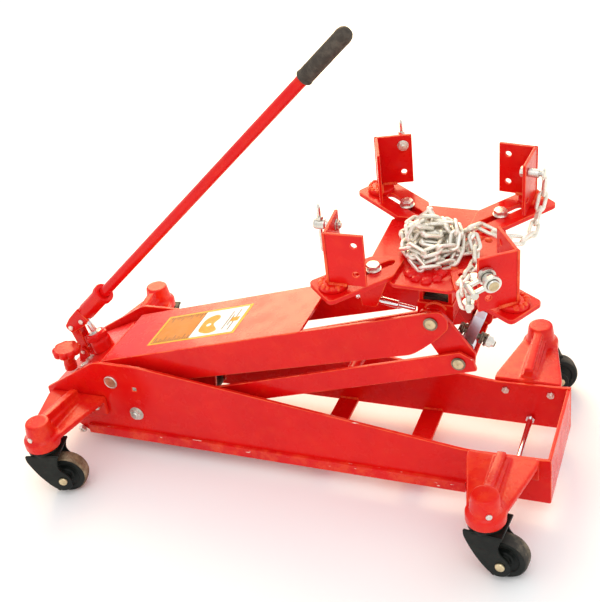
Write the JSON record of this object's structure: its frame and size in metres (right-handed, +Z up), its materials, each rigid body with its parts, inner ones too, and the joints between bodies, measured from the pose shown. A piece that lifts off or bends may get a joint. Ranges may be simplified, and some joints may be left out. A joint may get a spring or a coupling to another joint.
{
  "type": "transmission jack",
  "caption": "Low hydraulic floor jack on swivel casters, with a parallelogram lift arm, tilting saddle, slotted arms with corner uprights, a hold-down chain and a pump handle.",
  "frame": {"origin": "bottom centre of the bounding box, on the floor", "axes": "+X towards the lifting head, +Z up, +Y to the far side from the release knob"},
  "size_m": [0.945, 0.5434, 0.7887],
  "materials": {
    "red_paint": "glossy red enamel over steel, with orange-worn edges",
    "zinc_hardware": "satin zinc-plated steel",
    "chain_zinc": "bright zinc-plated chain steel",
    "aged_steel": "yellowed plated steel with dark rims",
    "black_steel": "semi-gloss black paint",
    "caster_tread": "worn dark moulded tread",
    "chrome_rod": "polished rod"
  },
  "bodies": {
    "frame": {"side_plate_near": "red_paint", "side_plate_far": "red_paint", "end_plate_front": "red_paint", "cross_strap_rear": "red_paint", "cross_strap_front": "red_paint", "tie_rod": "zinc_hardware", "outrigger_rear_near": "red_paint", "outrigger_rear_far": "red_paint", "outrigger_front_near": "red_paint", "outrigger_front_far": "red_paint", "pump_block": "red_paint", "arm_pivot_near": "zinc_hardware", "arm_pivot_far": "zinc_hardware", "link_pivot_near": "zinc_hardware", "link_pivot_far": "zinc_hardware"},
    "lift_arm": {"lift_arm": "red_paint", "arm_head_pin": "aged_steel"},
    "lower_link": {"lower_link": "red_paint", "link_head_pin": "aged_steel"},
    "carrier": {"carrier_bracket": "red_paint", "tilt_strap": "zinc_hardware"},
    "tilt_screw": {"tilt_screw": "aged_steel"},
    "tilt_yoke": {"tilt_yoke": "red_paint"},
    "saddle": {"saddle_plate": "red_paint", "chain_pile": "chain_zinc", "chain_lead_far": "chain_zinc", "chain_lead_near": "chain_zinc"},
    "side_tilt_rod": {"side_tilt_rod": "zinc_hardware"},
    "ram_cylinder": {"ram_cylinder": "red_paint"},
    "ram_rod": {"ram_rod": "chrome_rod"},
    "pump_link": {"pump_link": "red_paint"},
    "pump_plunger": {"pump_plunger": "chrome_rod"},
    "handle": {"handle_socket": "red_paint", "handle_bar": "red_paint"},
    "release_knob": {"release_knob": "red_paint"},
    "slot_bolt_near_rear": {"slot_bolt_near_rear": "zinc_hardware"},
    "support_arm_near_rear": {"support_arm_near_rear": "red_paint"},
    "upright_near_rear": {"upright_near_rear": "red_paint", "hook_bolt_near": "zinc_hardware"},
    "slot_bolt_far_rear": {"slot_bolt_far_rear": "zinc_hardware"},
    "support_arm_far_rear": {"support_arm_far_rear": "red_paint"},
    "upright_far_rear": {"upright_far_rear": "red_paint", "hook_bolt_far": "zinc_hardware"},
    "slot_bolt_far_front": {"slot_bolt_far_front": "zinc_hardware"},
    "support_arm_far_front": {"support_arm_far_front": "red_paint"},
    "upright_far_front": {"upright_far_front": "red_paint", "chain_anchor_far": "chain_zinc"},
    "slot_bolt_near_front": {"slot_bolt_near_front": "zinc_hardware"},
    "support_arm_near_front": {"support_arm_near_front": "red_paint"},
    "upright_near_front": {"upright_near_front": "red_paint", "chain_stud_near": "chain_zinc", "chain_shackle": "chain_zinc"},
    "caster_fork_rear_near": {"caster_fork_rear_near": "black_steel"},
    "caster_wheel_rear_near": {"caster_wheel_rear_near": "caster_tread"},
    "caster_fork_rear_far": {"caster_fork_rear_far": "black_steel"},
    "caster_wheel_rear_far": {"caster_wheel_rear_far": "caster_tread"},
    "caster_fork_front_near": {"caster_fork_front_near": "black_steel"},
    "caster_wheel_front_near": {"caster_wheel_front_near": "caster_tread"},
    "caster_fork_front_far": {"caster_fork_front_far": "black_steel"},
    "caster_wheel_front_far": {"caster_wheel_front_far": "caster_tread"}
  },
  "joints": [
    {"name": "lift", "type": "hinge", "parent": "frame", "child": "lift_arm", "pos_m": [-0.3255, -0.00418, 0.1553], "axis": [0, -1, 0], "range_deg": [-16.5, 21]},
    {"name": "link_swing", "type": "hinge", "parent": "frame", "child": "lower_link", "pos_m": [-0.2853, -0.00418, 0.0894], "axis": [0, -1, 0], "range_deg": [-17, 21.5]},
    {"name": "carrier_level", "type": "hinge", "parent": "lift_arm", "child": "carrier", "pos_m": [0.283, -0.00418, 0.3442], "axis": [0, -1, 0], "range_deg": [-21.5, 17]},
    {"name": "ram_swing", "type": "hinge", "parent": "frame", "child": "ram_cylinder", "pos_m": [-0.3835, -0.00418, 0.11], "axis": [0, -1, 0], "range_deg": [-12.5, 16]},
    {"name": "ram_stroke", "type": "slide", "parent": "ram_cylinder", "child": "ram_rod", "axis": [0.9998, 0, -0.0192], "range_m": [-0.0135, 0.0172]},
    {"name": "fore_aft_tilt", "type": "hinge", "parent": "carrier", "child": "tilt_yoke", "pos_m": [0.283, -0.00418, 0.3442], "axis": [0, -1, 0], "range_deg": [-5, 10]},
    {"name": "tilt_screw_turn", "type": "hinge", "parent": "carrier", "child": "tilt_screw", "pos_m": [0.314, -0.02918, 0.3073], "axis": [0.8979, 0, -0.4402], "continuous": true},
    {"name": "side_tilt", "type": "hinge", "parent": "tilt_yoke", "child": "saddle", "pos_m": [0.27894, -0.00181, 0.40471], "axis": [0.9992, 0, -0.0401], "range_deg": [-12, 4]},
    {"name": "side_tilt_screw_turn", "type": "hinge", "parent": "saddle", "child": "side_tilt_rod", "pos_m": [0.15102, -0.0434, 0.35958], "axis": [0.9829, 0.0101, -0.1837], "continuous": true},
    {"name": "arm_swing_near_rear", "type": "hinge", "parent": "saddle", "child": "slot_bolt_near_rear", "pos_m": [0.2029, -0.09715, 0.4352], "axis": [0.04, -0.0698, 0.9968], "range_deg": [-8, 8]},
    {"name": "arm_slide_near_rear", "type": "slide", "parent": "slot_bolt_near_rear", "child": "support_arm_near_rear", "axis": [-0.6603, -0.7506, -0.026], "range_m": [-0.004, 0.024]},
    {"name": "upright_swivel_near_rear", "type": "hinge", "parent": "support_arm_near_rear", "child": "upright_near_rear", "pos_m": [0.15635, -0.15007, 0.43337], "axis": [0.04, -0.0698, 0.9968], "range_deg": [-15, 15]},
    {"name": "arm_swing_far_rear", "type": "hinge", "parent": "saddle", "child": "slot_bolt_far_rear", "pos_m": [0.20342, 0.08879, 0.44819], "axis": [0.04, -0.0698, 0.9968], "range_deg": [-8, 8]},
    {"name": "arm_slide_far_rear", "type": "slide", "parent": "slot_bolt_far_rear", "child": "support_arm_far_rear", "axis": [-0.8118, 0.5793, 0.0731], "range_m": [-0.004, 0.024]},
    {"name": "upright_swivel_far_rear", "type": "hinge", "parent": "support_arm_far_rear", "child": "upright_far_rear", "pos_m": [0.14708, 0.129, 0.45327], "axis": [0.04, -0.0698, 0.9968], "range_deg": [-15, 15]},
    {"name": "arm_swing_far_front", "type": "hinge", "parent": "saddle", "child": "slot_bolt_far_front", "pos_m": [0.3577, 0.08879, 0.442], "axis": [0.04, -0.0698, 0.9968], "range_deg": [-8, 8]},
    {"name": "arm_slide_far_front", "type": "slide", "parent": "slot_bolt_far_front", "child": "support_arm_far_front", "axis": [0.6296, 0.7763, 0.029], "range_m": [-0.004, 0.024]},
    {"name": "upright_swivel_far_front", "type": "hinge", "parent": "support_arm_far_front", "child": "upright_far_front", "pos_m": [0.39825, 0.13879, 0.44387], "axis": [0.04, -0.0698, 0.9968], "range_deg": [-15, 15], "deforming": ["chain_lead_far"]},
    {"name": "arm_swing_near_front", "type": "hinge", "parent": "saddle", "child": "slot_bolt_near_front", "pos_m": [0.35718, -0.09715, 0.42901], "axis": [0.04, -0.0698, 0.9968], "range_deg": [-8, 8]},
    {"name": "arm_slide_near_front", "type": "slide", "parent": "slot_bolt_near_front", "child": "support_arm_near_front", "axis": [0.8505, -0.5212, -0.0706], "range_m": [-0.004, 0.02]},
    {"name": "upright_swivel_near_front", "type": "hinge", "parent": "support_arm_near_front", "child": "upright_near_front", "pos_m": [0.42437, -0.13833, 0.42342], "axis": [0.04, -0.0698, 0.9968], "range_deg": [-15, 15], "deforming": ["chain_lead_near"]},
    {"name": "pump_stroke", "type": "slide", "parent": "frame", "child": "pump_plunger", "axis": [-0.36, 0, 0.933], "range_m": [-0.0005, 0.0188]},
    {"name": "pump_handle", "type": "hinge", "parent": "pump_plunger", "child": "handle", "pos_m": [-0.4219, -0.00418, 0.2208], "axis": [0, -1, 0], "range_deg": [0, 45]},
    {"name": "pump_link_swing", "type": "hinge", "parent": "frame", "child": "pump_link", "pos_m": [-0.4355, -0.00418, 0.15], "axis": [0, -1, 0], "range_deg": [-13, 0.5]},
    {"name": "release_valve", "type": "hinge", "parent": "frame", "child": "release_knob", "pos_m": [-0.4455, -0.05518, 0], "axis": [0, 0, 1], "range_deg": [-180, 180]},
    {"name": "caster_swivel_rear_near", "type": "hinge", "parent": "frame", "child": "caster_fork_rear_near", "pos_m": [-0.4035, -0.23508, 0], "axis": [0, 0, 1], "continuous": true},
    {"name": "wheel_spin_rear_near", "type": "hinge", "parent": "caster_fork_rear_near", "child": "caster_wheel_rear_near", "pos_m": [-0.37452, -0.22731, 0.0375], "axis": [-0.2588, 0.9659, 0], "continuous": true},
    {"name": "caster_swivel_rear_far", "type": "hinge", "parent": "frame", "child": "caster_fork_rear_far", "pos_m": [-0.4035, 0.22672, 0], "axis": [0, 0, 1], "continuous": true},
    {"name": "wheel_spin_rear_far", "type": "hinge", "parent": "caster_fork_rear_far", "child": "caster_wheel_rear_far", "pos_m": [-0.37379, 0.2309, 0.0375], "axis": [-0.1392, 0.9903, 0], "continuous": true},
    {"name": "caster_swivel_front_near", "type": "hinge", "parent": "frame", "child": "caster_fork_front_near", "pos_m": [0.3965, -0.23508, 0], "axis": [0, 0, 1], "continuous": true},
    {"name": "wheel_spin_front_near", "type": "hinge", "parent": "caster_fork_front_near", "child": "caster_wheel_front_near", "pos_m": [0.42634, -0.23821, 0.0375], "axis": [0.1045, 0.9945, 0], "continuous": true},
    {"name": "caster_swivel_front_far", "type": "hinge", "parent": "frame", "child": "caster_fork_front_far", "pos_m": [0.3965, 0.22672, 0], "axis": [0, 0, 1], "continuous": true},
    {"name": "wheel_spin_front_far", "type": "hinge", "parent": "caster_fork_front_far", "child": "caster_wheel_front_far", "pos_m": [0.42391, 0.23892, 0.0375], "axis": [-0.4067, 0.9135, 0], "continuous": true}
  ],
  "couplings": [
    {"joint": "link_swing", "follows": "lift", "ratio": 1},
    {"joint": "carrier_level", "follows": "lift", "ratio": -1},
    {"joint": "ram_swing", "follows": "lift", "ratio": 0.72449},
    {"joint": "ram_stroke", "follows": "lift", "m_per_rad": 0.045417},
    {"joint": "pump_stroke", "follows": "pump_handle", "m_per_rad": 0.023287},
    {"joint": "pump_link_swing", "follows": "pump_handle", "ratio": -0.27593},
    {"joint": "tilt_screw_turn", "follows": "fore_aft_tilt", "ratio": 40}
  ]
}
